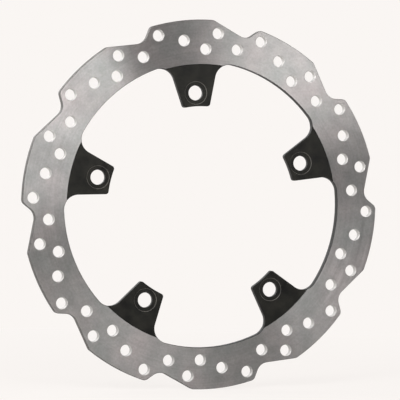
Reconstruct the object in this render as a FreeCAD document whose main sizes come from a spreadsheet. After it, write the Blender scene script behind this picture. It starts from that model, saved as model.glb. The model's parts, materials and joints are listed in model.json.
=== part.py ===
import FreeCAD, Part

"""One-piece wave brake disc: a ground friction ring with ten swept lobes and fifty
vent holes, carried on five coated mounting tabs that bolt to a wheel hub.

The disc stands upright. Its axis is Y, its mid-plane is Y = 0 and its outer face looks along -Y.
Every sub-part is drawn with a tab's centre line along +X and is then turned about the axis.
Lengths are in millimetres and angles in degrees, anticlockwise as the outer face is looked at.
"""

import math
import os

import Sketcher

PARTS_FOLDER = "parts"
SHEET = "Dimensions"
SKETCH_ORIGIN = (-1, 1)
SKETCH_X_AXIS = -1
START, END, CENTRE = 1, 2, 3
CLEAR = 10.0  # how far the outline of a cut runs past the metal
TOLERANCE = 1e-3

DIMENSIONS = [
    ("outer_dia", 248.0, "over the tips of the lobes"),
    ("ring_inner_dia", 192.0, "inner edge of the ring between the tabs"),
    ("band_inner_dia", 188.0, "where the ground band ends and the thinner tabs begin"),
    ("register_dia", 132.0, "circle of the tab tips, which centre the disc on the hub"),
    ("bolt_circle_dia", 150.0, "circle through the mounting holes"),
    ("bolt_hole_dia", 10.0, "mounting hole"),
    ("ring_thickness", 5.0, "between the two ground faces"),
    ("tab_thickness", 4.0, "between the two coated faces"),
    ("disc_turn", 22.65, "angle of the first tab above the X axis"),
    ("tab_count", 5, "mounting tabs, and the windows between them"),
    ("tab_width", 23.5, "across a tab at the bolt circle"),
    ("tab_taper", 15.0, "lean of each side of a tab from its centre line"),
    ("tab_root_radius", 10.0, "fillet from a tab into the ring"),
    ("tab_tip_radius", 2.0, "rounding of a tab's two tip corners"),
    ("seat_dia", 15.0, "shallow seat round a mounting hole"),
    ("seat_depth", 0.4, "depth of that seat"),
    ("lobe_count", 10, "lobes round the rim"),
    ("lobe_end", 13.35, "steep end of a lobe, past a tab's centre line"),
    ("flank_lean", 38.0, "lean of the steep flank from the radius"),
    ("valley_span", 15.5, "from a lobe's steep end to the start of the next lobe"),
    ("ramp_rise", 26.0, "angle between the gentle ramp and the rim that it meets"),
    ("valley_radius", 8.0, "fillet at the bottom of a valley"),
    ("lobe_corner_radius", 4.0, "rounding of a lobe's two corners"),
    ("vent_hole_dia", 7.5, "drilled vent hole"),
    ("ring_chamfer", 0.3, "edges of the ring"),
    ("tab_chamfer", 0.3, "edges of a tab"),
    ("hole_chamfer", 0.3, "edges of the drilled holes"),
    ("seat_chamfer", 0.3, "edge of the shallow seat"),
]

# One group of vent holes, which repeats with the lobes: its name, its distance from the disc's
# axis, and its angle past a tab's centre line.
VENT_HOLES = [
    ("vent_one", 117.0, 11.75),
    ("vent_two", 110.5, 3.25),
    ("vent_three", 104.25, -4.75),
    ("vent_four", 115.25, -9.0),
    ("vent_five", 106.75, -16.75),
]


def fill_sheet(doc):
    """Puts every driving dimension in the sheet under its own name. Returns them by name."""
    sheet = doc.addObject("Spreadsheet::Sheet", SHEET)
    rows = list(DIMENSIONS)
    for name, radius, angle in VENT_HOLES:
        rows.append((name + "_radius", radius, "distance of this vent hole from the axis"))
        rows.append((name + "_angle", angle, "its angle past a tab's centre line"))
    for row, (name, value, note) in enumerate(rows, start=1):
        sheet.set(f"A{row}", name)
        sheet.set(f"B{row}", str(value))
        sheet.set(f"C{row}", note)
        sheet.setAlias(f"B{row}", name)
    doc.recompute()
    return {name: float(sheet.get(name)) for name, _, _ in rows}


def cell(name):
    """A sheet cell as an expression names it."""
    return f"{SHEET}.{name}"


def half(name):
    """Half of a sheet cell, as an expression: the radius of a stated diameter."""
    return f"{SHEET}.{name} / 2"


def origin_feature(body, role):
    """A plane or an axis of the body's own origin."""
    return next(item for item in body.Origin.OriginFeatures if item.Role == role)


def turned(axis, angle=0.0):
    """A placement that turns about this axis through the origin."""
    return FreeCAD.Placement(FreeCAD.Vector(0, 0, 0), FreeCAD.Rotation(axis, angle))


def new_body(doc, label, turn):
    """An empty body, turned about the disc's axis by the angle that the expression gives."""
    body = doc.addObject("PartDesign::Body", label)
    body.Label = label
    body.Placement = turned(FreeCAD.Vector(0, -1, 0), 1.0)
    body.setExpression("Placement.Rotation.Angle", turn)
    return body


def new_sketch(body, name, turn=None, height=None):
    """A sketch across the disc's axis: turned about it, and raised from the mid-plane towards the
    outer face, by the expressions that are given."""
    sketch = body.newObject("Sketcher::SketchObject", name)
    sketch.AttachmentSupport = [(origin_feature(body, "XZ_Plane"), "")]
    sketch.MapMode = "FlatFace"
    if turn:
        sketch.AttachmentOffset = turned(FreeCAD.Vector(0, 0, 1), 1.0)
        sketch.setExpression("AttachmentOffset.Rotation.Angle", turn)
    if height:
        sketch.setExpression("AttachmentOffset.Base.z", height)
    return sketch


def constrain(sketch, kind, *where, value=None, name=None, formula=None):
    """Adds one constraint. Its size, if it has one, is bound to the formula under its name."""
    sizes = [] if value is None else [value]
    index = sketch.addConstraint(Sketcher.Constraint(kind, *where, *sizes))
    if formula:
        sketch.renameConstraint(index, name)
        sketch.setExpression(f"Constraints.{name}", formula)


def polar(radius, angle):
    """The point at this distance and angle from the disc's axis, in a sketch's plane."""
    turn = math.radians(angle)
    return FreeCAD.Vector(radius * math.cos(turn), radius * math.sin(turn), 0)


def new_circle(centre, radius):
    return Part.Circle(centre, FreeCAD.Vector(0, 0, 1), radius)


def new_arc(centre, radius, first, last):
    """An arc that runs anticlockwise from the first angle to the last."""
    return Part.ArcOfCircle(new_circle(centre, radius), math.radians(first), math.radians(last))


def add_round(sketch, name, shape, radius, formula):
    """A circle or an arc round the disc's axis, with its radius bound to the formula."""
    index = sketch.addGeometry(shape)
    constrain(sketch, "Coincident", index, CENTRE, *SKETCH_ORIGIN)
    constrain(sketch, "Radius", index, value=radius, name=name, formula=formula)
    return index


def add_hole(sketch, name, place, radius, formulas):
    """A round hole. The formulas give its centre's two coordinates and its radius."""
    index = sketch.addGeometry(new_circle(place, radius))
    across, up, size = formulas
    constrain(sketch, "DistanceX", *SKETCH_ORIGIN, index, CENTRE,
              value=place.x, name=name + "_across", formula=across)
    if up:
        constrain(sketch, "DistanceY", *SKETCH_ORIGIN, index, CENTRE,
                  value=place.y, name=name + "_up", formula=up)
    else:
        constrain(sketch, "PointOnObject", index, CENTRE, SKETCH_X_AXIS)
    constrain(sketch, "Radius", index, value=radius, name=name + "_size", formula=size)


class Builder:
    """Adds features to one body, and stops the build at a feature that changes nothing."""

    def __init__(self, doc, label, turn):
        self.doc = doc
        self.body = new_body(doc, label, turn)
        self.volume = 0.0

    def _finish(self, feature):
        self.body.Tip = feature
        self.doc.recompute()
        before, self.volume = self.volume, self.body.Shape.Volume
        if abs(self.volume - before) < TOLERANCE:
            raise RuntimeError(f"{self.body.Label}: {feature.Name} changed nothing")
        return feature

    def through(self, kind, name, sketch, length):
        """A Pad or Pocket that runs the same way to each side of its sketch."""
        feature = self.body.newObject("PartDesign::" + kind, name)
        feature.Profile = sketch
        feature.SideType = "Symmetric"
        feature.setExpression("Length", length)
        return self._finish(feature)

    def sink(self, name, sketch, depth):
        """A Pocket from its sketch into the metal behind it."""
        feature = self.body.newObject("PartDesign::Pocket", name)
        feature.Profile = sketch
        feature.setExpression("Length", depth)
        return self._finish(feature)

    def repeat(self, name, original, count):
        """Repeats a feature round the disc's axis."""
        feature = self.body.newObject("PartDesign::PolarPattern", name)
        feature.Originals = [original]
        feature.Axis = (origin_feature(self.body, "Y_Axis"), [""])
        feature.Angle = 360.0
        feature.setExpression("Occurrences", count)
        return self._finish(feature)

    def mirror(self, name, original):
        """Repeats a feature on the other side of the mid-plane."""
        feature = self.body.newObject("PartDesign::Mirrored", name)
        feature.Originals = [original]
        feature.MirrorPlane = (origin_feature(self.body, "XZ_Plane"), [""])
        return self._finish(feature)

    def dress(self, kind, name, wanted, formula, expected):
        """A Fillet or Chamfer on the edges that the test picks, which have to be so many."""
        base = self.body.Tip
        edges = enumerate(base.Shape.Edges, start=1)
        picked = [f"Edge{index}" for index, edge in edges if wanted(edge)]
        if len(picked) != expected:
            raise RuntimeError(f"{name} found {len(picked)} edges, not {expected}")
        feature = self.body.newObject("PartDesign::" + kind, name)
        feature.Base = (base, picked)
        feature.setExpression("Radius" if kind == "Fillet" else "Size", formula)
        return self._finish(feature)


def corner_at(radius):
    """A test for the straight edges that run along the disc's axis at this distance from it."""

    def wanted(edge):
        first, last = edge.Vertexes[0].Point, edge.Vertexes[-1].Point
        distance = math.hypot(first.x, first.z)
        return abs(last.y - first.y) > 1.0 and abs(distance - radius) < TOLERANCE

    return wanted


def lies_at(edge, height):
    """Whether the whole edge is at this height from the mid-plane, on either side."""
    return edge.BoundBox.YLength < TOLERANCE and abs(abs(edge.BoundBox.YMin) - height) < TOLERANCE


def is_circle(edge, radius):
    """Whether the edge is a whole circle of this radius."""
    return len(edge.Vertexes) == 1 and abs(edge.Curve.Radius - radius) < TOLERANCE


def side_offset(size):
    """How far from the disc's axis the line of a tab's side passes."""
    taper = math.radians(size["tab_taper"])
    return size["bolt_circle_dia"] / 2 * math.sin(taper) - size["tab_width"] / 2 * math.cos(taper)


SIDE_OFFSET = (
    f"({half('bolt_circle_dia')} * sin({cell('tab_taper')})"
    f" - {half('tab_width')} * cos({cell('tab_taper')}))"
)


def valley_corner(size):
    """Where a valley's steep flank would meet its ramp, with the lobe's steep end at angle 0."""
    rim = size["outer_dia"] / 2
    lobe_end, next_lobe = polar(rim, 0), polar(rim, size["valley_span"])
    down = polar(1, 180 - size["flank_lean"])
    ramp = polar(1, size["valley_span"] + 90 - size["ramp_rise"])
    span = next_lobe - lobe_end
    length = (span.x * ramp.y - span.y * ramp.x) / (down.x * ramp.y - down.y * ramp.x)
    return lobe_end + down * length


def draw_valley(body, size):
    """The gap between two lobes: a steep flank down from one and a gentle ramp up to the next."""
    sketch = new_sketch(body, "valley_outline", turn=cell("lobe_end"))
    rim = size["outer_dia"] / 2
    outside = rim + CLEAR
    lobe_end, next_lobe = polar(rim, 0), polar(rim, size["valley_span"])
    corners = [
        lobe_end,
        valley_corner(size),
        next_lobe,
        FreeCAD.Vector(outside, next_lobe.y, 0),
        FreeCAD.Vector(outside, 0, 0),
    ]
    ends = corners[1:] + corners[:1]
    lines = [sketch.addGeometry(Part.LineSegment(a, b)) for a, b in zip(corners, ends)]
    for line, following in zip(lines, lines[1:] + lines[:1]):
        constrain(sketch, "Coincident", line, END, following, START)
    flank, ramp, top, side, bottom = lines
    constrain(sketch, "PointOnObject", flank, START, SKETCH_X_AXIS)
    constrain(sketch, "Horizontal", top)
    constrain(sketch, "Vertical", side)
    constrain(sketch, "Horizontal", bottom)
    constrain(sketch, "DistanceX", *SKETCH_ORIGIN, flank, START,
              value=rim, name="rim", formula=half("outer_dia"))
    constrain(sketch, "DistanceX", *SKETCH_ORIGIN, side, START,
              value=outside, name="outside", formula=f"{half('outer_dia')} + {CLEAR}")
    constrain(sketch, "DistanceX", *SKETCH_ORIGIN, ramp, END,
              value=next_lobe.x, name="next_lobe_across",
              formula=f"{half('outer_dia')} * cos({cell('valley_span')})")
    constrain(sketch, "DistanceY", *SKETCH_ORIGIN, ramp, END,
              value=next_lobe.y, name="next_lobe_up",
              formula=f"{half('outer_dia')} * sin({cell('valley_span')})")
    steep = 180 - size["flank_lean"]
    gentle = size["valley_span"] + 90 - size["ramp_rise"]
    constrain(sketch, "Angle", flank, value=math.radians(steep), name="steep",
              formula=f"180 - {cell('flank_lean')}")
    constrain(sketch, "Angle", ramp, value=math.radians(gentle), name="gentle",
              formula=f"{cell('valley_span')} + 90 - {cell('ramp_rise')}")
    return sketch


def draw_window(body, size):
    """The opening between two tabs: a sector whose straight sides are the sides of those tabs."""
    sketch = new_sketch(body, "window_outline", turn=f"180 / {cell('tab_count')}")
    edge = size["ring_inner_dia"] / 2
    lean = 180 / size["tab_count"] - size["tab_taper"]
    lean_formula = f"(180 / {cell('tab_count')} - {cell('tab_taper')})"
    reach = lean + math.degrees(math.asin(side_offset(size) / edge))
    apex = FreeCAD.Vector(-side_offset(size) / math.sin(math.radians(lean)), 0, 0)
    rim = add_round(sketch, "edge", new_arc(FreeCAD.Vector(), edge, -reach, reach),
                    edge, half("ring_inner_dia"))
    sides = []
    for name, sign, corner in (("lower_side", -1, START), ("upper_side", 1, END)):
        side = sketch.addGeometry(Part.LineSegment(apex, polar(edge, sign * reach)))
        constrain(sketch, "Coincident", side, END, rim, corner)
        constrain(sketch, "Angle", side, value=math.radians(sign * lean), name=name,
                  formula=f"{sign} * {lean_formula}")
        sides.append(side)
    lower, upper = sides
    constrain(sketch, "Coincident", lower, START, upper, START)
    constrain(sketch, "PointOnObject", lower, START, SKETCH_X_AXIS)
    constrain(sketch, "DistanceX", lower, START, *SKETCH_ORIGIN,
              value=-apex.x, name="apex", formula=f"{SIDE_OFFSET} / sin({lean_formula})")
    return sketch


def draw_vent_holes(body, size):
    """The group of vent holes that repeats with the lobes."""
    sketch = new_sketch(body, "vent_hole_group")
    for name, radius, angle in VENT_HOLES:
        distance, turn = cell(name + "_radius"), cell(name + "_angle")
        formulas = (f"{distance} * cos({turn})", f"{distance} * sin({turn})", half("vent_hole_dia"))
        add_hole(sketch, name, polar(radius, angle), size["vent_hole_dia"] / 2, formulas)
    return sketch


def make_friction_ring(doc, size):
    """The ground ring: a disc with its valleys, windows, bore and vent holes cut through it."""
    ring = Builder(doc, "friction_ring", cell("disc_turn"))
    through = f"{cell('ring_thickness')} + {CLEAR}"

    blank = new_sketch(ring.body, "blank_outline")
    rim = size["outer_dia"] / 2
    add_round(blank, "rim", new_circle(FreeCAD.Vector(), rim), rim, half("outer_dia"))
    ring.through("Pad", "blank", blank, cell("ring_thickness"))

    valley = ring.through("Pocket", "valley", draw_valley(ring.body, size), through)
    ring.repeat("valleys", valley, cell("lobe_count"))
    window = ring.through("Pocket", "window", draw_window(ring.body, size), through)
    ring.repeat("windows", window, cell("tab_count"))

    lobes, tabs = int(size["lobe_count"]), int(size["tab_count"])
    bottom = valley_corner(size).Length
    ring.dress("Fillet", "valley_fillets", corner_at(bottom), cell("valley_radius"), lobes)
    ring.dress("Fillet", "lobe_corners", corner_at(rim), cell("lobe_corner_radius"), 2 * lobes)
    edge = size["ring_inner_dia"] / 2
    ring.dress("Fillet", "tab_roots", corner_at(edge), cell("tab_root_radius"), 2 * tabs)

    bore = new_sketch(ring.body, "bore_outline")
    band = size["band_inner_dia"] / 2
    add_round(bore, "band", new_circle(FreeCAD.Vector(), band), band, half("band_inner_dia"))
    ring.through("Pocket", "bore", bore, through)
    vents = ring.through("Pocket", "vent_group", draw_vent_holes(ring.body, size), through)
    ring.repeat("vent_holes", vents, cell("lobe_count"))

    face = size["ring_thickness"] / 2
    vent_radius = size["vent_hole_dia"] / 2
    holes = 2 * lobes * len(VENT_HOLES)
    # On each face, a lobe has six edges round the rim and a tab has four round the bore, and the
    # rim and the bore are each split once more, where their circles start.
    outline = 2 * (6 * lobes + 4 * tabs + 2)
    ring.dress("Chamfer", "ring_chamfers",
               lambda edge: lies_at(edge, face) and not is_circle(edge, vent_radius),
               cell("ring_chamfer"), outline)
    ring.dress("Chamfer", "vent_chamfers",
               lambda edge: lies_at(edge, face) and is_circle(edge, vent_radius),
               cell("hole_chamfer"), holes)
    return ring.body


def draw_tab(body, size):
    """A tab's outline, about the X axis: hub register, two straight sides, two root fillets and
    the edge of the ground band."""
    sketch = new_sketch(body, "tab_outline")
    register, band = size["register_dia"] / 2, size["band_inner_dia"] / 2
    root, taper, offset = size["tab_root_radius"], size["tab_taper"], side_offset(size)
    to_root = size["ring_inner_dia"] / 2 - root
    tip_angle = taper - math.degrees(math.asin(offset / register))
    root_angle = taper + math.degrees(math.asin((root - offset) / to_root))
    root_centre = polar(to_root, root_angle)
    cosine = (band ** 2 + to_root ** 2 - root ** 2) / (2 * band * to_root)
    band_angle = root_angle - math.degrees(math.acos(cosine))
    meet = polar(band, band_angle) - root_centre
    meet_angle = math.degrees(math.atan2(meet.y, meet.x))
    side_end = root_centre + polar(root, taper - 90)

    tip = add_round(sketch, "register", new_arc(FreeCAD.Vector(), register, -tip_angle, tip_angle),
                    register, half("register_dia"))
    end = add_round(sketch, "band", new_arc(FreeCAD.Vector(), band, -band_angle, band_angle),
                    band, half("band_inner_dia"))
    for name, sign in (("lower", -1), ("upper", 1)):
        ahead = sign > 0
        centre = FreeCAD.Vector(root_centre.x, sign * root_centre.y, 0)
        side_start = polar(register, sign * tip_angle)
        side_stop = FreeCAD.Vector(side_end.x, sign * side_end.y, 0)
        side = sketch.addGeometry(Part.LineSegment(side_start, side_stop))
        span = (taper - 90, meet_angle) if ahead else (-meet_angle, 90 - taper)
        fillet = sketch.addGeometry(new_arc(centre, root, *span))
        at_side, at_band = (START, END) if ahead else (END, START)
        constrain(sketch, "Coincident", side, START, tip, END if ahead else START)
        constrain(sketch, "Tangent", side, END, fillet, at_side)
        constrain(sketch, "Coincident", fillet, at_band, end, END if ahead else START)
        constrain(sketch, "Angle", side, value=math.radians(sign * taper),
                  name=name + "_taper", formula=f"{sign} * {cell('tab_taper')}")
        constrain(sketch, "Distance", *SKETCH_ORIGIN, side,
                  value=offset, name=name + "_offset", formula=SIDE_OFFSET)
        constrain(sketch, "Radius", fillet, value=root,
                  name=name + "_root", formula=cell("tab_root_radius"))
        constrain(sketch, "Distance", *SKETCH_ORIGIN, fillet, CENTRE, value=to_root,
                  name=name + "_root_place",
                  formula=f"{half('ring_inner_dia')} - {cell('tab_root_radius')}")
    return sketch


def make_mounting_tab(doc, size, number):
    """One tab, from the hub register out to the edge of the ground band."""
    turn = f"{cell('disc_turn')} + {number - 1} * 360 / {cell('tab_count')}"
    tab = Builder(doc, f"mounting_tab_{number}", turn)
    tab.through("Pad", "plate", draw_tab(tab.body, size), cell("tab_thickness"))
    tab.dress("Fillet", "tip_corners", corner_at(size["register_dia"] / 2), cell("tab_tip_radius"), 2)

    bolt_place = FreeCAD.Vector(size["bolt_circle_dia"] / 2, 0, 0)
    hole_sketch = new_sketch(tab.body, "bolt_hole_outline")
    hole_radius = size["bolt_hole_dia"] / 2
    add_hole(hole_sketch, "bolt_hole", bolt_place, hole_radius,
             (half("bolt_circle_dia"), None, half("bolt_hole_dia")))
    tab.through("Pocket", "bolt_hole", hole_sketch, f"{cell('tab_thickness')} + {CLEAR}")

    seat_sketch = new_sketch(tab.body, "seat_outline", height=half("tab_thickness"))
    seat_radius = size["seat_dia"] / 2
    add_hole(seat_sketch, "seat", bolt_place, seat_radius,
             (half("bolt_circle_dia"), None, half("seat_dia")))
    seat = tab.sink("seat", seat_sketch, cell("seat_depth"))
    tab.mirror("seats", seat)

    face = size["tab_thickness"] / 2
    band = size["band_inner_dia"] / 2
    # On each face: the register, two tip corners, two sides and two root fillets.
    tab.dress("Chamfer", "tab_chamfers",
              lambda edge: lies_at(edge, face) and not is_circle(edge, seat_radius)
              and not runs_round(edge, band),
              cell("tab_chamfer"), 2 * 7)
    tab.dress("Chamfer", "seat_chamfers",
              lambda edge: lies_at(edge, face) and is_circle(edge, seat_radius),
              cell("seat_chamfer"), 2)
    tab.dress("Chamfer", "bolt_hole_chamfers",
              lambda edge: lies_at(edge, face - size["seat_depth"]) and is_circle(edge, hole_radius),
              cell("hole_chamfer"), 2)
    return tab.body


def runs_round(edge, radius):
    """Whether the edge is an arc of this radius."""
    return isinstance(edge.Curve, Part.Circle) and abs(edge.Curve.Radius - radius) < TOLERANCE


def check(doc, bodies):
    """Stops the build if any object has failed, or any sub-part isn't one valid solid."""
    for item in doc.Objects:
        if {"Invalid", "Error"} & set(item.State):
            raise RuntimeError(f"{item.Name} is {item.State}")
    for body in bodies:
        shape = body.Shape
        if shape.isNull() or not shape.isValid() or len(shape.Solids) != 1:
            raise RuntimeError(f"{body.Label} isn't one valid solid")


def main():
    os.makedirs(PARTS_FOLDER, exist_ok=True)
    doc = FreeCAD.newDocument("wave_brake_disc")
    size = fill_sheet(doc)
    bodies = [make_friction_ring(doc, size)]
    for number in range(1, int(size["tab_count"]) + 1):
        bodies.append(make_mounting_tab(doc, size, number))
    doc.recompute()
    check(doc, bodies)
    for body in bodies:
        body.Shape.exportStep(f"{PARTS_FOLDER}/{body.Label}.step")
        print(body.Label, round(body.Shape.Volume, 1), "mm3,", len(body.Shape.Faces), "faces")


main()
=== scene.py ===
"""A one-piece wave brake disc on a plain pale studio floor.

The disc is one steel plate. Its ring is ground bright on both faces, and its rim and its vent
holes are bare steel too. The five mounting tabs, and the walls of the windows between them, keep
a satin black coat. Lengths are in metres, except where a name ends in _mm, and angles in degrees.
"""

import json
import logging
import math
from dataclasses import dataclass, field
from enum import Enum
from typing import Callable, Iterable, Union

import bmesh
import bpy
from mathutils import Matrix, Vector

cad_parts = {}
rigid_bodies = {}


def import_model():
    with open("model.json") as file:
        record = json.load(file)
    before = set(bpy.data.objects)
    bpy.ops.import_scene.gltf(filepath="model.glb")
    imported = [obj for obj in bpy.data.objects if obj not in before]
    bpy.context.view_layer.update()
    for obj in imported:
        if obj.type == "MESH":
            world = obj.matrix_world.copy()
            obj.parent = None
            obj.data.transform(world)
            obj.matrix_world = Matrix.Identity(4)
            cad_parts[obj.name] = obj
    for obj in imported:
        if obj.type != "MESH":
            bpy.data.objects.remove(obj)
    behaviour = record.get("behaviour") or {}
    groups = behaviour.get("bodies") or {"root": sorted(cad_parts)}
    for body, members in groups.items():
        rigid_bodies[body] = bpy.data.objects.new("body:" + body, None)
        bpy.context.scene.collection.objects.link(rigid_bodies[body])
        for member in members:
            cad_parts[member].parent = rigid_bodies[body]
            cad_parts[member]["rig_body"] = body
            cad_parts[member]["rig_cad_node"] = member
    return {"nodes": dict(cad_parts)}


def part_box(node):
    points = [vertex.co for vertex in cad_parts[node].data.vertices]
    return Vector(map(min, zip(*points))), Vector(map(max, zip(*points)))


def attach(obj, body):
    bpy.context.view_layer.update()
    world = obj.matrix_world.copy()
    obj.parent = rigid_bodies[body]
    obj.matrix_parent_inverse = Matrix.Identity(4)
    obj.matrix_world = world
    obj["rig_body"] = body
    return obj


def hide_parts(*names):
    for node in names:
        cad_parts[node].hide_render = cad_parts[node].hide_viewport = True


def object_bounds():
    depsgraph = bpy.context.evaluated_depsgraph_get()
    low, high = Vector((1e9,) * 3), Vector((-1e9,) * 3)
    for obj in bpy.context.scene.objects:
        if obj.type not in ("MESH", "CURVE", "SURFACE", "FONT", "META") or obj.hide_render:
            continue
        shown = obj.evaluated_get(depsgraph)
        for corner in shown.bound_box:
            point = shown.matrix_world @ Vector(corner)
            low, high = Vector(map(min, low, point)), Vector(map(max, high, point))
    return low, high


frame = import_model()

LOG = logging.getLogger("brake_disc")
MM = 0.001
ROOT = "root"
TABS = 5
MERGE = 0.001 * MM  # corners this close are one
SHARP_ANGLE = 25.0  # walls that meet at more than this keep a sharp edge
FACING = 0.9  # a face whose normal has this much of Y in it is flat on the disc

CAD_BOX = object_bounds()

Setting = Union[float, str, tuple, bpy.types.NodeSocket]


# --------------------------------------------------------------------------------------------
# Colour and shader nodes
# --------------------------------------------------------------------------------------------


def linear(hex_colour: str) -> tuple[float, float, float, float]:
    """Turns an sRGB hex colour into the linear one that a shader takes.

    Args:
        hex_colour: the colour as "#rrggbb".

    Returns:
        Its red, green and blue in linear light, with an alpha of 1.
    """
    digits = hex_colour.lstrip("#")
    channels = [int(digits[place : place + 2], 16) / 255 for place in (0, 2, 4)]
    light = [c / 12.92 if c <= 0.04045 else ((c + 0.055) / 1.055) ** 2.4 for c in channels]
    return (light[0], light[1], light[2], 1.0)


def per_metre(size_mm: float) -> float:
    """Returns the scale of a pattern whose features are this many millimetres across."""
    return 1.0 / (size_mm * MM)


def add_node(
    tree: bpy.types.NodeTree, kind: str, inputs: dict[Union[int, str], Setting], **settings: Setting
) -> bpy.types.Node:
    """Adds one node, gives it its settings, and links or fills its inputs.

    Args:
        tree: the material's or world's node tree.
        kind: the node's type, without its "ShaderNode" prefix.
        inputs: a value or another node's output, for each input by its name or number.
        settings: the node's own properties.

    Returns:
        The new node.
    """
    node = tree.nodes.new("ShaderNode" + kind)
    for name, value in settings.items():
        setattr(node, name, value)
    for name, value in inputs.items():
        if isinstance(value, bpy.types.NodeSocket):
            tree.links.new(value, node.inputs[name])
        else:
            node.inputs[name].default_value = value
    return node


def new_material(name: str) -> tuple[bpy.types.Material, bpy.types.NodeTree]:
    """Makes an empty node material.

    Args:
        name: the finish, in a maker's words.

    Returns:
        The material and its cleared node tree.
    """
    material = bpy.data.materials.new(name)
    material.use_nodes = True
    material.node_tree.nodes.clear()
    return material, material.node_tree


def close_material(tree: bpy.types.NodeTree, shader: bpy.types.Node) -> None:
    """Sends the shader to the material's output."""
    add_node(tree, "OutputMaterial", {"Surface": shader.outputs[0]})


def around_axis(
    tree: bpy.types.NodeTree, place: bpy.types.NodeSocket, across: float, along: float
) -> bpy.types.NodeSocket:
    """Coordinates that run round the disc's axis without a seam, for marks left by turning.

    Args:
        tree: the material's node tree.
        place: Object coordinates.
        across: how fast the pattern changes with distance from the axis, per metre.
        along: how fast it changes round a full turn.

    Returns:
        A vector of distance, and the cosine and sine of the angle, each at its own scale.
    """
    flat = add_node(tree, "VectorMath", {0: place, 1: (1.0, 0.0, 1.0)}, operation="MULTIPLY")
    distance = add_node(tree, "VectorMath", {0: flat.outputs[0]}, operation="LENGTH")
    heading = add_node(tree, "VectorMath", {0: flat.outputs[0]}, operation="NORMALIZE")
    turned = add_node(tree, "VectorMath", {0: heading.outputs[0], 1: (along, along, along)},
                      operation="MULTIPLY")
    parts = add_node(tree, "SeparateXYZ", {0: turned.outputs[0]})
    scaled = add_node(tree, "Math", {0: distance.outputs["Value"], 1: across}, operation="MULTIPLY")
    joined = add_node(tree, "CombineXYZ", {
        0: scaled.outputs[0], 1: parts.outputs["X"], 2: parts.outputs["Z"]})
    return joined.outputs[0]


def spread(
    tree: bpy.types.NodeTree, value: bpy.types.NodeSocket, low: float, high: float,
    start: float = 0.3, stop: float = 0.7,
) -> bpy.types.NodeSocket:
    """Maps a pattern's usual range to another one.

    Args:
        tree: the material's node tree.
        value: the pattern.
        low: what it gives at start.
        high: what it gives at stop.
        start: the pattern's lower end.
        stop: its upper end.

    Returns:
        The mapped value, clamped to the new range.
    """
    node = add_node(tree, "MapRange", {0: value, 1: start, 2: stop, 3: low, 4: high})
    return node.outputs[0]


def blend_colours(
    tree: bpy.types.NodeTree, amount: bpy.types.NodeSocket, first: str, second: str
) -> bpy.types.NodeSocket:
    """Returns a colour between two hex colours, by the amount."""
    node = add_node(tree, "Mix", {0: amount, 6: linear(first), 7: linear(second)}, data_type="RGBA")
    return node.outputs[2]


# --------------------------------------------------------------------------------------------
# Finishes
# --------------------------------------------------------------------------------------------


@dataclass(frozen=True)
class GroundSteel:
    """Medium-carbon disc steel, ground on a rotary table.

    The wheel leaves fine grooves round the axis. They stretch each reflection outwards along the
    radius, so the ring shows soft bright and dark sectors, and they give a faint ringed grain.
    """

    name: str = "ground_disc_steel"
    cool: str = "#8e8f8d"
    warm: str = "#9c9695"
    roughness: float = 0.35
    roughness_play: float = 0.04
    anisotropy: float = 0.93
    groove_mm: float = 0.9  # real grooves are near 0.05 mm, too fine to show
    groove_sweep: float = 1.5  # how fast a groove changes round a turn: low, so it reads as a ring
    groove_depth_mm: float = 0.012
    groove_bump: float = 0.35
    groove_shade: tuple[float, float] = (0.93, 1.05)
    grain_mm: float = 1.4
    grain_shade: tuple[float, float] = (0.93, 1.07)
    cloud_mm: float = 7.0
    cloud_shade: tuple[float, float] = (0.92, 1.08)
    patch_mm: float = 28.0

    def build(self) -> bpy.types.Material:
        """Builds the material.

        Returns:
            The finished material.
        """
        material, tree = new_material(self.name)
        place = add_node(tree, "TexCoord", {}).outputs["Object"]
        outward = add_node(tree, "VectorMath", {0: place, 1: (1.0, 0.0, 1.0)}, operation="MULTIPLY")
        heading = add_node(tree, "VectorMath", {0: outward.outputs[0]}, operation="NORMALIZE")

        rings = around_axis(tree, place, per_metre(self.groove_mm), self.groove_sweep)
        grooves = add_node(tree, "TexNoise", {
            "Vector": rings, "Scale": 1.0, "Detail": 3.0, "Roughness": 0.6}).outputs["Fac"]
        grain = add_node(tree, "TexNoise", {
            "Vector": place, "Scale": per_metre(self.grain_mm), "Detail": 2.0}).outputs["Fac"]
        clouds = add_node(tree, "TexNoise", {
            "Vector": place, "Scale": per_metre(self.cloud_mm), "Detail": 3.0, "Roughness": 0.6,
        }).outputs["Fac"]
        patches = add_node(tree, "TexNoise", {
            "Vector": place, "Scale": per_metre(self.patch_mm), "Detail": 2.0}).outputs["Fac"]

        tint = blend_colours(tree, spread(tree, patches, 0.0, 1.0), self.cool, self.warm)
        fine_shade = add_node(tree, "Math", {
            0: spread(tree, grooves, *self.groove_shade),
            1: spread(tree, grain, *self.grain_shade)}, operation="MULTIPLY")
        shade = add_node(tree, "Math", {
            0: fine_shade.outputs[0],
            1: spread(tree, clouds, *self.cloud_shade)}, operation="MULTIPLY")
        colour = add_node(
            tree, "VectorMath", {0: tint, "Scale": shade.outputs[0]}, operation="SCALE")
        roughness = spread(tree, grooves, self.roughness - self.roughness_play,
                           self.roughness + self.roughness_play)
        bump = add_node(tree, "Bump", {
            "Strength": self.groove_bump, "Distance": self.groove_depth_mm * MM, "Height": grooves})
        shader = add_node(tree, "BsdfPrincipled", {
            "Base Color": colour.outputs[0], "Metallic": 1.0, "Roughness": roughness,
            "Anisotropic": self.anisotropy, "Tangent": heading.outputs[0],
            "Normal": bump.outputs[0]})
        close_material(tree, shader)
        return material


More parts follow.
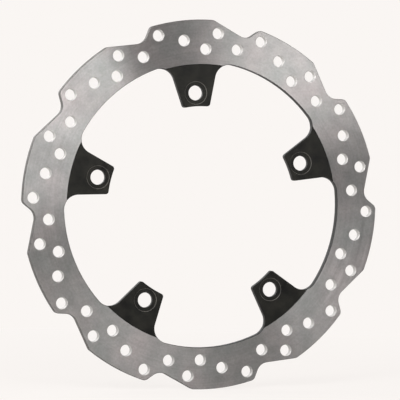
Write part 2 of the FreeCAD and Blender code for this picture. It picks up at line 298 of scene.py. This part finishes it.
@dataclass(frozen=True)
class DrilledSteel:
    """The bare wall of a drilled hole: bright steel with fine rings left by the drill."""

    name: str = "drilled_steel"
    dark: str = "#b4b2b0"
    light: str = "#cbc9c7"
    roughness: float = 0.65
    ring_mm: float = 0.35  # the drill's feed
    ring_depth_mm: float = 0.008
    ring_bump: float = 0.3
    streak_mm: float = 25.0  # how slowly a ring changes along itself

    def build(self) -> bpy.types.Material:
        """Builds the material.

        Returns:
            The finished material.
        """
        material, tree = new_material(self.name)
        place = add_node(tree, "TexCoord", {}).outputs["Object"]
        along, through = per_metre(self.streak_mm), per_metre(self.ring_mm)
        squeezed = add_node(tree, "VectorMath", {0: place, 1: (along, through, along)},
                            operation="MULTIPLY")
        rings = add_node(tree, "TexNoise", {
            "Vector": squeezed.outputs[0], "Scale": 1.0, "Detail": 2.0}).outputs["Fac"]
        colour = blend_colours(tree, spread(tree, rings, 0.0, 1.0), self.dark, self.light)
        bump = add_node(tree, "Bump", {
            "Strength": self.ring_bump, "Distance": self.ring_depth_mm * MM, "Height": rings})
        shader = add_node(tree, "BsdfPrincipled", {
            "Base Color": colour, "Metallic": 1.0, "Roughness": self.roughness,
            "Normal": bump.outputs[0]})
        close_material(tree, shader)
        return material


@dataclass(frozen=True)
class BlackCoat:
    """Thin satin black corrosion coat, baked on over the blasted plate.

    It looks almost black with a soft sheen and a faint pebbled texture. On the edge of a bolt's
    seat it is shinier, and there its lighter grey colour is a painted highlight.
    """

    name: str
    deep: str = "#080807"
    dusty: str = "#1a1915"
    roughness: float = 0.45
    sheen_level: float = 0.15  # well below a gloss paint's 0.5
    pebble_mm: float = 0.8
    pebble_depth_mm: float = 0.03
    pebble_bump: float = 0.5
    dust_mm: float = 9.0
    dust_dulling: tuple[float, float] = (-0.05, 0.08)  # added to the roughness

    def build(self) -> bpy.types.Material:
        """Builds the material.

        Returns:
            The finished material.
        """
        material, tree = new_material(self.name)
        place = add_node(tree, "TexCoord", {}).outputs["Object"]
        pebbles = add_node(tree, "TexNoise", {
            "Vector": place, "Scale": per_metre(self.pebble_mm), "Detail": 2.0}).outputs["Fac"]
        dust = add_node(tree, "TexNoise", {
            "Vector": place, "Scale": per_metre(self.dust_mm), "Detail": 4.0, "Roughness": 0.6,
        }).outputs["Fac"]
        colour = blend_colours(tree, spread(tree, dust, 0.0, 1.0), self.deep, self.dusty)
        shiniest, dullest = (self.roughness + change for change in self.dust_dulling)
        roughness = spread(tree, dust, shiniest, dullest)
        bump = add_node(tree, "Bump", {
            "Strength": self.pebble_bump, "Distance": self.pebble_depth_mm * MM, "Height": pebbles})
        shader = add_node(tree, "BsdfPrincipled", {
            "Base Color": colour, "Roughness": roughness, "Specular IOR Level": self.sheen_level,
            "Normal": bump.outputs[0]})
        close_material(tree, shader)
        return material


@dataclass(frozen=True)
class CutEdge:
    """A laser-cut wall, where fine striations run through the plate.

    Inside the disc it keeps the black coat, which the striations break up. Round the rim it is
    bare steel, a little darker and duller than the ground faces.
    """

    name: str
    deep: str = "#10100f"
    lighter_tone: str = "#262523"
    metallic: float = 0.0
    roughness: float = 0.5
    sheen_level: float = 0.2
    striation_mm: float = 0.5
    striation_stretch: float = 12.0  # length over width
    striation_depth_mm: float = 0.015
    striation_bump: float = 0.4
    rubbed_from: float = 0.35
    rubbed_to: float = 0.75

    def build(self) -> bpy.types.Material:
        """Builds the material.

        Returns:
            The finished material.
        """
        material, tree = new_material(self.name)
        place = add_node(tree, "TexCoord", {}).outputs["Object"]
        across = per_metre(self.striation_mm)
        through = across / self.striation_stretch
        stretched = add_node(tree, "VectorMath", {0: place, 1: (across, through, across)},
                             operation="MULTIPLY")
        lines = add_node(tree, "TexNoise", {
            "Vector": stretched.outputs[0], "Scale": 1.0, "Detail": 2.0}).outputs["Fac"]
        wear = spread(tree, lines, 0.0, 1.0, self.rubbed_from, self.rubbed_to)
        colour = blend_colours(tree, wear, self.deep, self.lighter_tone)
        bump = add_node(tree, "Bump", {
            "Strength": self.striation_bump, "Distance": self.striation_depth_mm * MM,
            "Height": lines})
        shader = add_node(tree, "BsdfPrincipled", {
            "Base Color": colour, "Metallic": self.metallic, "Roughness": self.roughness,
            "Specular IOR Level": self.sheen_level, "Normal": bump.outputs[0]})
        close_material(tree, shader)
        return material


@dataclass(frozen=True)
class StudioPaper:
    """Matt studio paper under an even light: near-white, with only a faint shadow.

    Most of its light is its own, which hides the horizon. The metal mirrors a dimmer paper in
    front of the disc and a bright one behind it, as a lit backdrop gives.
    """

    name: str = "studio_paper"
    lit: str = "#faf6f3"
    paper: str = "#d2cecb"
    reflected: str = "#bcbab8"
    shadow_share: float = 0.12  # of the light under the disc that a shadow can take away
    near: float = 0.1  # from the disc's centre
    far: float = 0.6
    backdrop_from: float = 0.01  # how far behind the disc the paper starts to glow for the metal

    def build(self) -> bpy.types.Material:
        """Builds the material.

        Returns:
            The finished material.
        """
        material, tree = new_material(self.name)
        place = add_node(tree, "TexCoord", {}).outputs["Object"]
        flat = add_node(tree, "VectorMath", {0: place, 1: (1.0, 1.0, 0.0)}, operation="MULTIPLY")
        distance = add_node(tree, "VectorMath", {0: flat.outputs[0]}, operation="LENGTH")
        own_light = spread(
            tree, distance.outputs["Value"], 1.0 - self.shadow_share, 1.0, self.near, self.far)
        depth = add_node(tree, "SeparateXYZ", {0: place}).outputs["Y"]
        behind = spread(tree, depth, 0.0, 1.0, self.backdrop_from, self.near)
        glow = add_node(tree, "Emission", {"Color": linear(self.lit), "Strength": 1.0}).outputs[0]
        paper = add_node(tree, "BsdfDiffuse", {"Color": linear(self.paper)}).outputs[0]
        dim = add_node(tree, "BsdfDiffuse", {"Color": linear(self.reflected)}).outputs[0]
        seen = add_node(tree, "MixShader", {0: own_light, 1: paper, 2: glow}).outputs[0]
        mirrored = add_node(tree, "MixShader", {0: behind, 1: dim, 2: glow}).outputs[0]
        ray = add_node(tree, "LightPath", {}).outputs["Is Camera Ray"]
        close_material(tree, add_node(tree, "MixShader", {0: ray, 1: mirrored, 2: seen}))
        return material


# --------------------------------------------------------------------------------------------
# Mesh work
# --------------------------------------------------------------------------------------------


def pick(objects: Iterable[bpy.types.Object]) -> None:
    """Deselects everything, then selects these objects and makes the last one active.

    Args:
        objects: what to select.
    """
    bpy.ops.object.select_all(action="DESELECT")
    for item in objects:
        item.select_set(True)
        bpy.context.view_layer.objects.active = item


def merged_copy(node: str, name: str) -> bpy.types.Object:
    """Copies a CAD node and joins its loose triangles into one closed, smooth-shaded surface.

    Args:
        node: the CAD node.
        name: the new piece's name.

    Returns:
        The new piece, which isn't dressed yet.
    """
    pick([frame["nodes"][node]])
    bpy.ops.object.duplicate()
    piece = bpy.context.view_layer.objects.active
    piece.name = piece.data.name = name
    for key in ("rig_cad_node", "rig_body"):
        if key in piece:
            del piece[key]
    piece.parent = None
    bpy.ops.mesh.customdata_custom_splitnormals_clear()
    bpy.ops.object.mode_set(mode="EDIT")
    bpy.ops.mesh.select_all(action="SELECT")
    bpy.ops.mesh.remove_doubles(threshold=MERGE)
    bpy.ops.mesh.dissolve_degenerate(threshold=MERGE)
    bpy.ops.mesh.normals_make_consistent(inside=False)
    bpy.ops.object.mode_set(mode="OBJECT")
    return piece


@dataclass
class Strip:
    """A connected set of wall faces, its furthest point from the axis and its width along X."""

    faces: list[int]
    reach: float
    width: float


def wall_strips(piece: bpy.types.Object, flat: Callable[[bmesh.types.BMFace], bool]) -> list[Strip]:
    """Sorts a plate's walls, with their chamfers, into connected strips.

    Args:
        piece: the plate.
        flat: tells the plate's flat faces, which part the strips.

    Returns:
        One strip for the rim, one for each opening.
    """
    mesh = bmesh.new()
    mesh.from_mesh(piece.data)
    mesh.faces.ensure_lookup_table()
    waiting = {face.index for face in mesh.faces if not flat(face)}
    strips = []
    while waiting:
        open_faces = [waiting.pop()]
        found = []
        while open_faces:
            face = mesh.faces[open_faces.pop()]
            found.append(face.index)
            for edge in face.edges:
                for other in edge.link_faces:
                    if other.index in waiting:
                        waiting.remove(other.index)
                        open_faces.append(other.index)
        points = [corner.co for index in found for corner in mesh.faces[index].verts]
        reach = max(math.hypot(point.x, point.z) for point in points)
        across = [point.x for point in points]
        strips.append(Strip(found, reach, max(across) - min(across)))
    mesh.free()
    return strips


def dress(piece: bpy.types.Object, materials: list[bpy.types.Material]) -> None:
    """Gives the piece its material slots.

    Args:
        piece: the piece to dress.
        materials: one for each slot, in order.
    """
    piece.data.materials.clear()
    for material in materials:
        piece.data.materials.append(material)


def smooth_walls(piece: bpy.types.Object) -> None:
    """Shades round walls smooth and keeps every real edge sharp."""
    pick([piece])
    bpy.ops.object.shade_smooth_by_angle(angle=math.radians(SHARP_ANGLE))


def settle(piece: bpy.types.Object, slot: str, *nodes: str) -> None:
    """Puts a finished piece on the root body, in place of its CAD nodes.

    Args:
        piece: the finished piece.
        slot: the record's material slot that it stands for; not used.
        nodes: the CAD nodes that it replaces.
    """
    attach(piece, ROOT)
    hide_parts(*nodes)
    LOG.info("%s: %d faces, in place of %s", piece.name, len(piece.data.polygons), ", ".join(nodes))


# --------------------------------------------------------------------------------------------
# The disc
# --------------------------------------------------------------------------------------------


class RingSurface(Enum):
    """The ring's material slots."""

    GROUND = 0
    COATED_WALL = 1
    RIM_WALL = 2
    DRILLED = 3


class TabSurface(Enum):
    """A tab's material slots."""

    FACE = 0
    WALL = 1
    SEAT_EDGE = 2


@dataclass
class FrictionRing:
    """The ground ring with its wavy rim and its drilled vent holes."""

    node: str = "friction_ring"
    ground: GroundSteel = field(default_factory=GroundSteel)
    wall: CutEdge = CutEdge("black_coat_on_cut_wall")
    rim: CutEdge = CutEdge(
        "laser_cut_steel", deep="#656361", lighter_tone="#807e7c", metallic=1.0, roughness=0.65,
        sheen_level=0.5)
    drilled: DrilledSteel = field(default_factory=DrilledSteel)
    widest_hole: float = 12 * MM
    window_reach: float = 97 * MM
    face_tolerance: float = 0.01 * MM

    def build(self) -> bpy.types.Object:
        """Builds the ring and sorts its faces among its finishes.

        Returns:
            The ring, dressed and in place.
        """
        low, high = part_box(self.node)
        half = (high.y - low.y) / 2
        piece = merged_copy(self.node, "ground_ring")
        finishes = (self.ground, self.wall, self.rim, self.drilled)
        dress(piece, [finish.build() for finish in finishes])

        def on_face(face: bmesh.types.BMFace) -> bool:
            """Tells whether a face lies on either ground side."""
            return all(abs(abs(corner.co.y) - half) < self.face_tolerance for corner in face.verts)

        faces = piece.data.polygons
        for face in faces:
            face.material_index = RingSurface.GROUND.value
        for strip in wall_strips(piece, on_face):
            if strip.width < self.widest_hole:
                surface = RingSurface.DRILLED
            elif strip.reach < self.window_reach:
                surface = RingSurface.COATED_WALL
            else:
                surface = RingSurface.RIM_WALL
            for index in strip.faces:
                faces[index].material_index = surface.value
        smooth_walls(piece)
        settle(piece, "ground_steel", self.node)
        return piece


@dataclass
class MountingTab:
    """One coated tab, with its bolt hole in a shallow seat."""

    number: int
    coats: list[bpy.types.Material]
    bolt_circle: float = 75 * MM
    first_turn: float = 22.65
    seat_radius: float = 7.5 * MM
    seat_edge: float = 0.5 * MM  # how near the seat's circle its chamfer lies

    def build(self) -> bpy.types.Object:
        """Builds the tab and sorts its faces among its coats.

        Returns:
            The tab, dressed and in place.
        """
        node = f"mounting_tab_{self.number}"
        piece = merged_copy(node, f"coated_tab_{self.number}")
        dress(piece, self.coats)
        turn = math.radians(self.first_turn + 360 / TABS * (self.number - 1))
        bolt = Vector((math.cos(turn), 0.0, math.sin(turn))) * self.bolt_circle
        for face in piece.data.polygons:
            across = math.hypot(face.center.x - bolt.x, face.center.z - bolt.z)
            if abs(face.normal.y) > FACING:
                surface = TabSurface.FACE
            # A seat's chamfer takes the coat whose lighter grey is a painted highlight.
            elif abs(across - self.seat_radius) < self.seat_edge:
                surface = TabSurface.SEAT_EDGE
            else:
                surface = TabSurface.WALL
            face.material_index = surface.value
        smooth_walls(piece)
        settle(piece, "black_coating", node)
        return piece


@dataclass
class WaveDisc:
    """The whole disc: the ring and its tabs."""

    coat: BlackCoat = BlackCoat("black_coat")
    tab_wall: CutEdge = CutEdge("black_coat_on_tab_wall")
    # The seat's edge coat: its lighter grey is a painted highlight; its lower roughness and higher
    # sheen are real.
    lighter_tone: BlackCoat = BlackCoat(
        "black_coat_painted_seat_highlight", deep="#33312f", dusty="#57544f", roughness=0.4, sheen_level=0.4)

    def build(self) -> None:
        """Builds and dresses every piece."""
        FrictionRing().build()
        coats = [finish.build() for finish in (self.coat, self.tab_wall, self.lighter_tone)]
        for number in range(1, TABS + 1):
            MountingTab(number, coats).build()


# --------------------------------------------------------------------------------------------
# The studio
# --------------------------------------------------------------------------------------------


@dataclass
class Softbox:
    """A square lamp that looks at the disc's centre."""

    name: str
    azimuth: float  # round the disc's axis, anticlockwise from +X as the outer face is looked at
    off_axis: float  # from the disc's axis: 0 faces the outer face, 180 the back
    side: float
    watts: float
    distance: float = 0.65
    colour: str = "#ffffff"

    def build(self) -> bpy.types.Object:
        """Places the lamp and turns it towards the disc.

        Returns:
            The lamp.
        """
        turn, lean = math.radians(self.azimuth), math.radians(self.off_axis)
        away = Vector((
            math.cos(turn) * math.sin(lean), -math.cos(lean), math.sin(turn) * math.sin(lean)))
        bpy.ops.object.light_add(type="AREA", location=away * self.distance)
        lamp = bpy.context.view_layer.objects.active
        lamp.name = self.name
        lamp.rotation_euler = away.to_track_quat("Z", "Y").to_euler()
        lamp.data.shape = "SQUARE"
        lamp.data.size = self.side
        lamp.data.energy = self.watts
        lamp.data.color = linear(self.colour)[:3]
        lamp.visible_camera = False
        return lamp


@dataclass
class Studio:
    """The floor, the even light round it, the lamps and the camera."""

    floor_radius: float = 6.0
    floor_corners: int = 96
    background: str = "#faf6f3"
    ambient: str = "#ffffff"
    ambient_strength: float = 0.44
    backdrop_strength: float = 1.3
    backdrop_edge: tuple[float, float] = (0.8, 0.95)  # cosine of the angle from +Y
    camera_distance: float = 1.678
    camera_lens_mm: float = 225.0
    camera_sensor_mm: float = 36.0
    camera_sees: tuple[float, float] = (0.05, 50.0)
    yaw: float = 17.5
    elevation: float = 0.73
    roll: float = 0.94
    aim: Vector = field(default_factory=lambda: Vector((-1.4 * MM, 0.0, 3.05 * MM)))
    lamps: tuple[Softbox, ...] = (
        Softbox("right_softbox", azimuth=36.0, off_axis=40.0, side=0.3, watts=1.2),
        Softbox("top_softbox", azimuth=112.0, off_axis=40.0, side=0.15, watts=1.6),
        Softbox("upper_left_softbox", azimuth=139.0, off_axis=40.0, side=0.2, watts=2.44),
        Softbox("left_softbox", azimuth=170.0, off_axis=40.0, side=0.2, watts=1.9),
        Softbox("low_left_softbox", azimuth=194.0, off_axis=40.0, side=0.14, watts=0.5),
        Softbox("back_right_softbox", azimuth=42.0, off_axis=140.0, side=0.3, watts=1.1),
        Softbox("back_left_softbox", azimuth=135.0, off_axis=140.0, side=0.3, watts=1.4),
    )

    def build(self) -> None:
        """Builds the floor, the light and the camera."""
        self._floor()
        self._ambient()
        for lamp in self.lamps:
            lamp.build()
        self._camera()

    def _floor(self) -> None:
        """Lays the paper that the disc stands on."""
        bpy.ops.object.select_all(action="DESELECT")
        bpy.ops.mesh.primitive_circle_add(
            vertices=self.floor_corners, radius=self.floor_radius, fill_type="NGON",
            location=(0, 0, CAD_BOX[0].z))
        floor = bpy.context.view_layer.objects.active
        floor.name = "studio_floor"
        floor.data.materials.append(StudioPaper().build())

    def _ambient(self) -> None:
        """Lights the scene evenly, with a whiter surround for the eye than for the metal."""
        world = bpy.data.worlds.new("studio")
        world.use_nodes = True
        tree = world.node_tree
        tree.nodes.clear()
        seen = add_node(tree, "Background", {"Color": linear(self.background), "Strength": 1.0})
        around = add_node(tree, "TexCoord", {}).outputs["Generated"]
        heading = add_node(tree, "SeparateXYZ", {0: around})
        strength = spread(tree, heading.outputs["Y"], self.ambient_strength, self.backdrop_strength,
                          *self.backdrop_edge)
        lit = add_node(tree, "Background", {"Color": linear(self.ambient), "Strength": strength})
        ray = add_node(tree, "LightPath", {}).outputs["Is Camera Ray"]
        mixed = add_node(tree, "MixShader", {0: ray, 1: lit.outputs[0], 2: seen.outputs[0]})
        add_node(tree, "OutputWorld", {"Surface": mixed.outputs[0]})
        bpy.context.scene.world = world

    def _camera(self) -> None:
        """Sets the camera a little to the disc's left, almost level with its centre."""
        yaw, lift, roll = (math.radians(turn) for turn in (self.yaw, self.elevation, self.roll))
        back = Vector((
            -math.sin(yaw) * math.cos(lift), -math.cos(yaw) * math.cos(lift), math.sin(lift)))
        bpy.ops.object.camera_add(location=self.aim + back * self.camera_distance)
        camera = bpy.context.view_layer.objects.active
        camera.name = "studio_camera"
        facing = back.to_track_quat("Z", "Y").to_matrix() @ Matrix.Rotation(roll, 3, "Z")
        camera.rotation_euler = facing.to_euler()
        camera.data.lens = self.camera_lens_mm
        camera.data.sensor_width = self.camera_sensor_mm
        camera.data.clip_start, camera.data.clip_end = self.camera_sees
        bpy.context.scene.camera = camera
        bpy.context.scene.view_settings.view_transform = "Standard"


def main() -> None:
    """Builds the disc and its studio, in order."""
    logging.basicConfig(level=logging.INFO, format="%(name)s: %(message)s")
    WaveDisc().build()
    Studio().build()


if __name__ == "__main__":
    main()
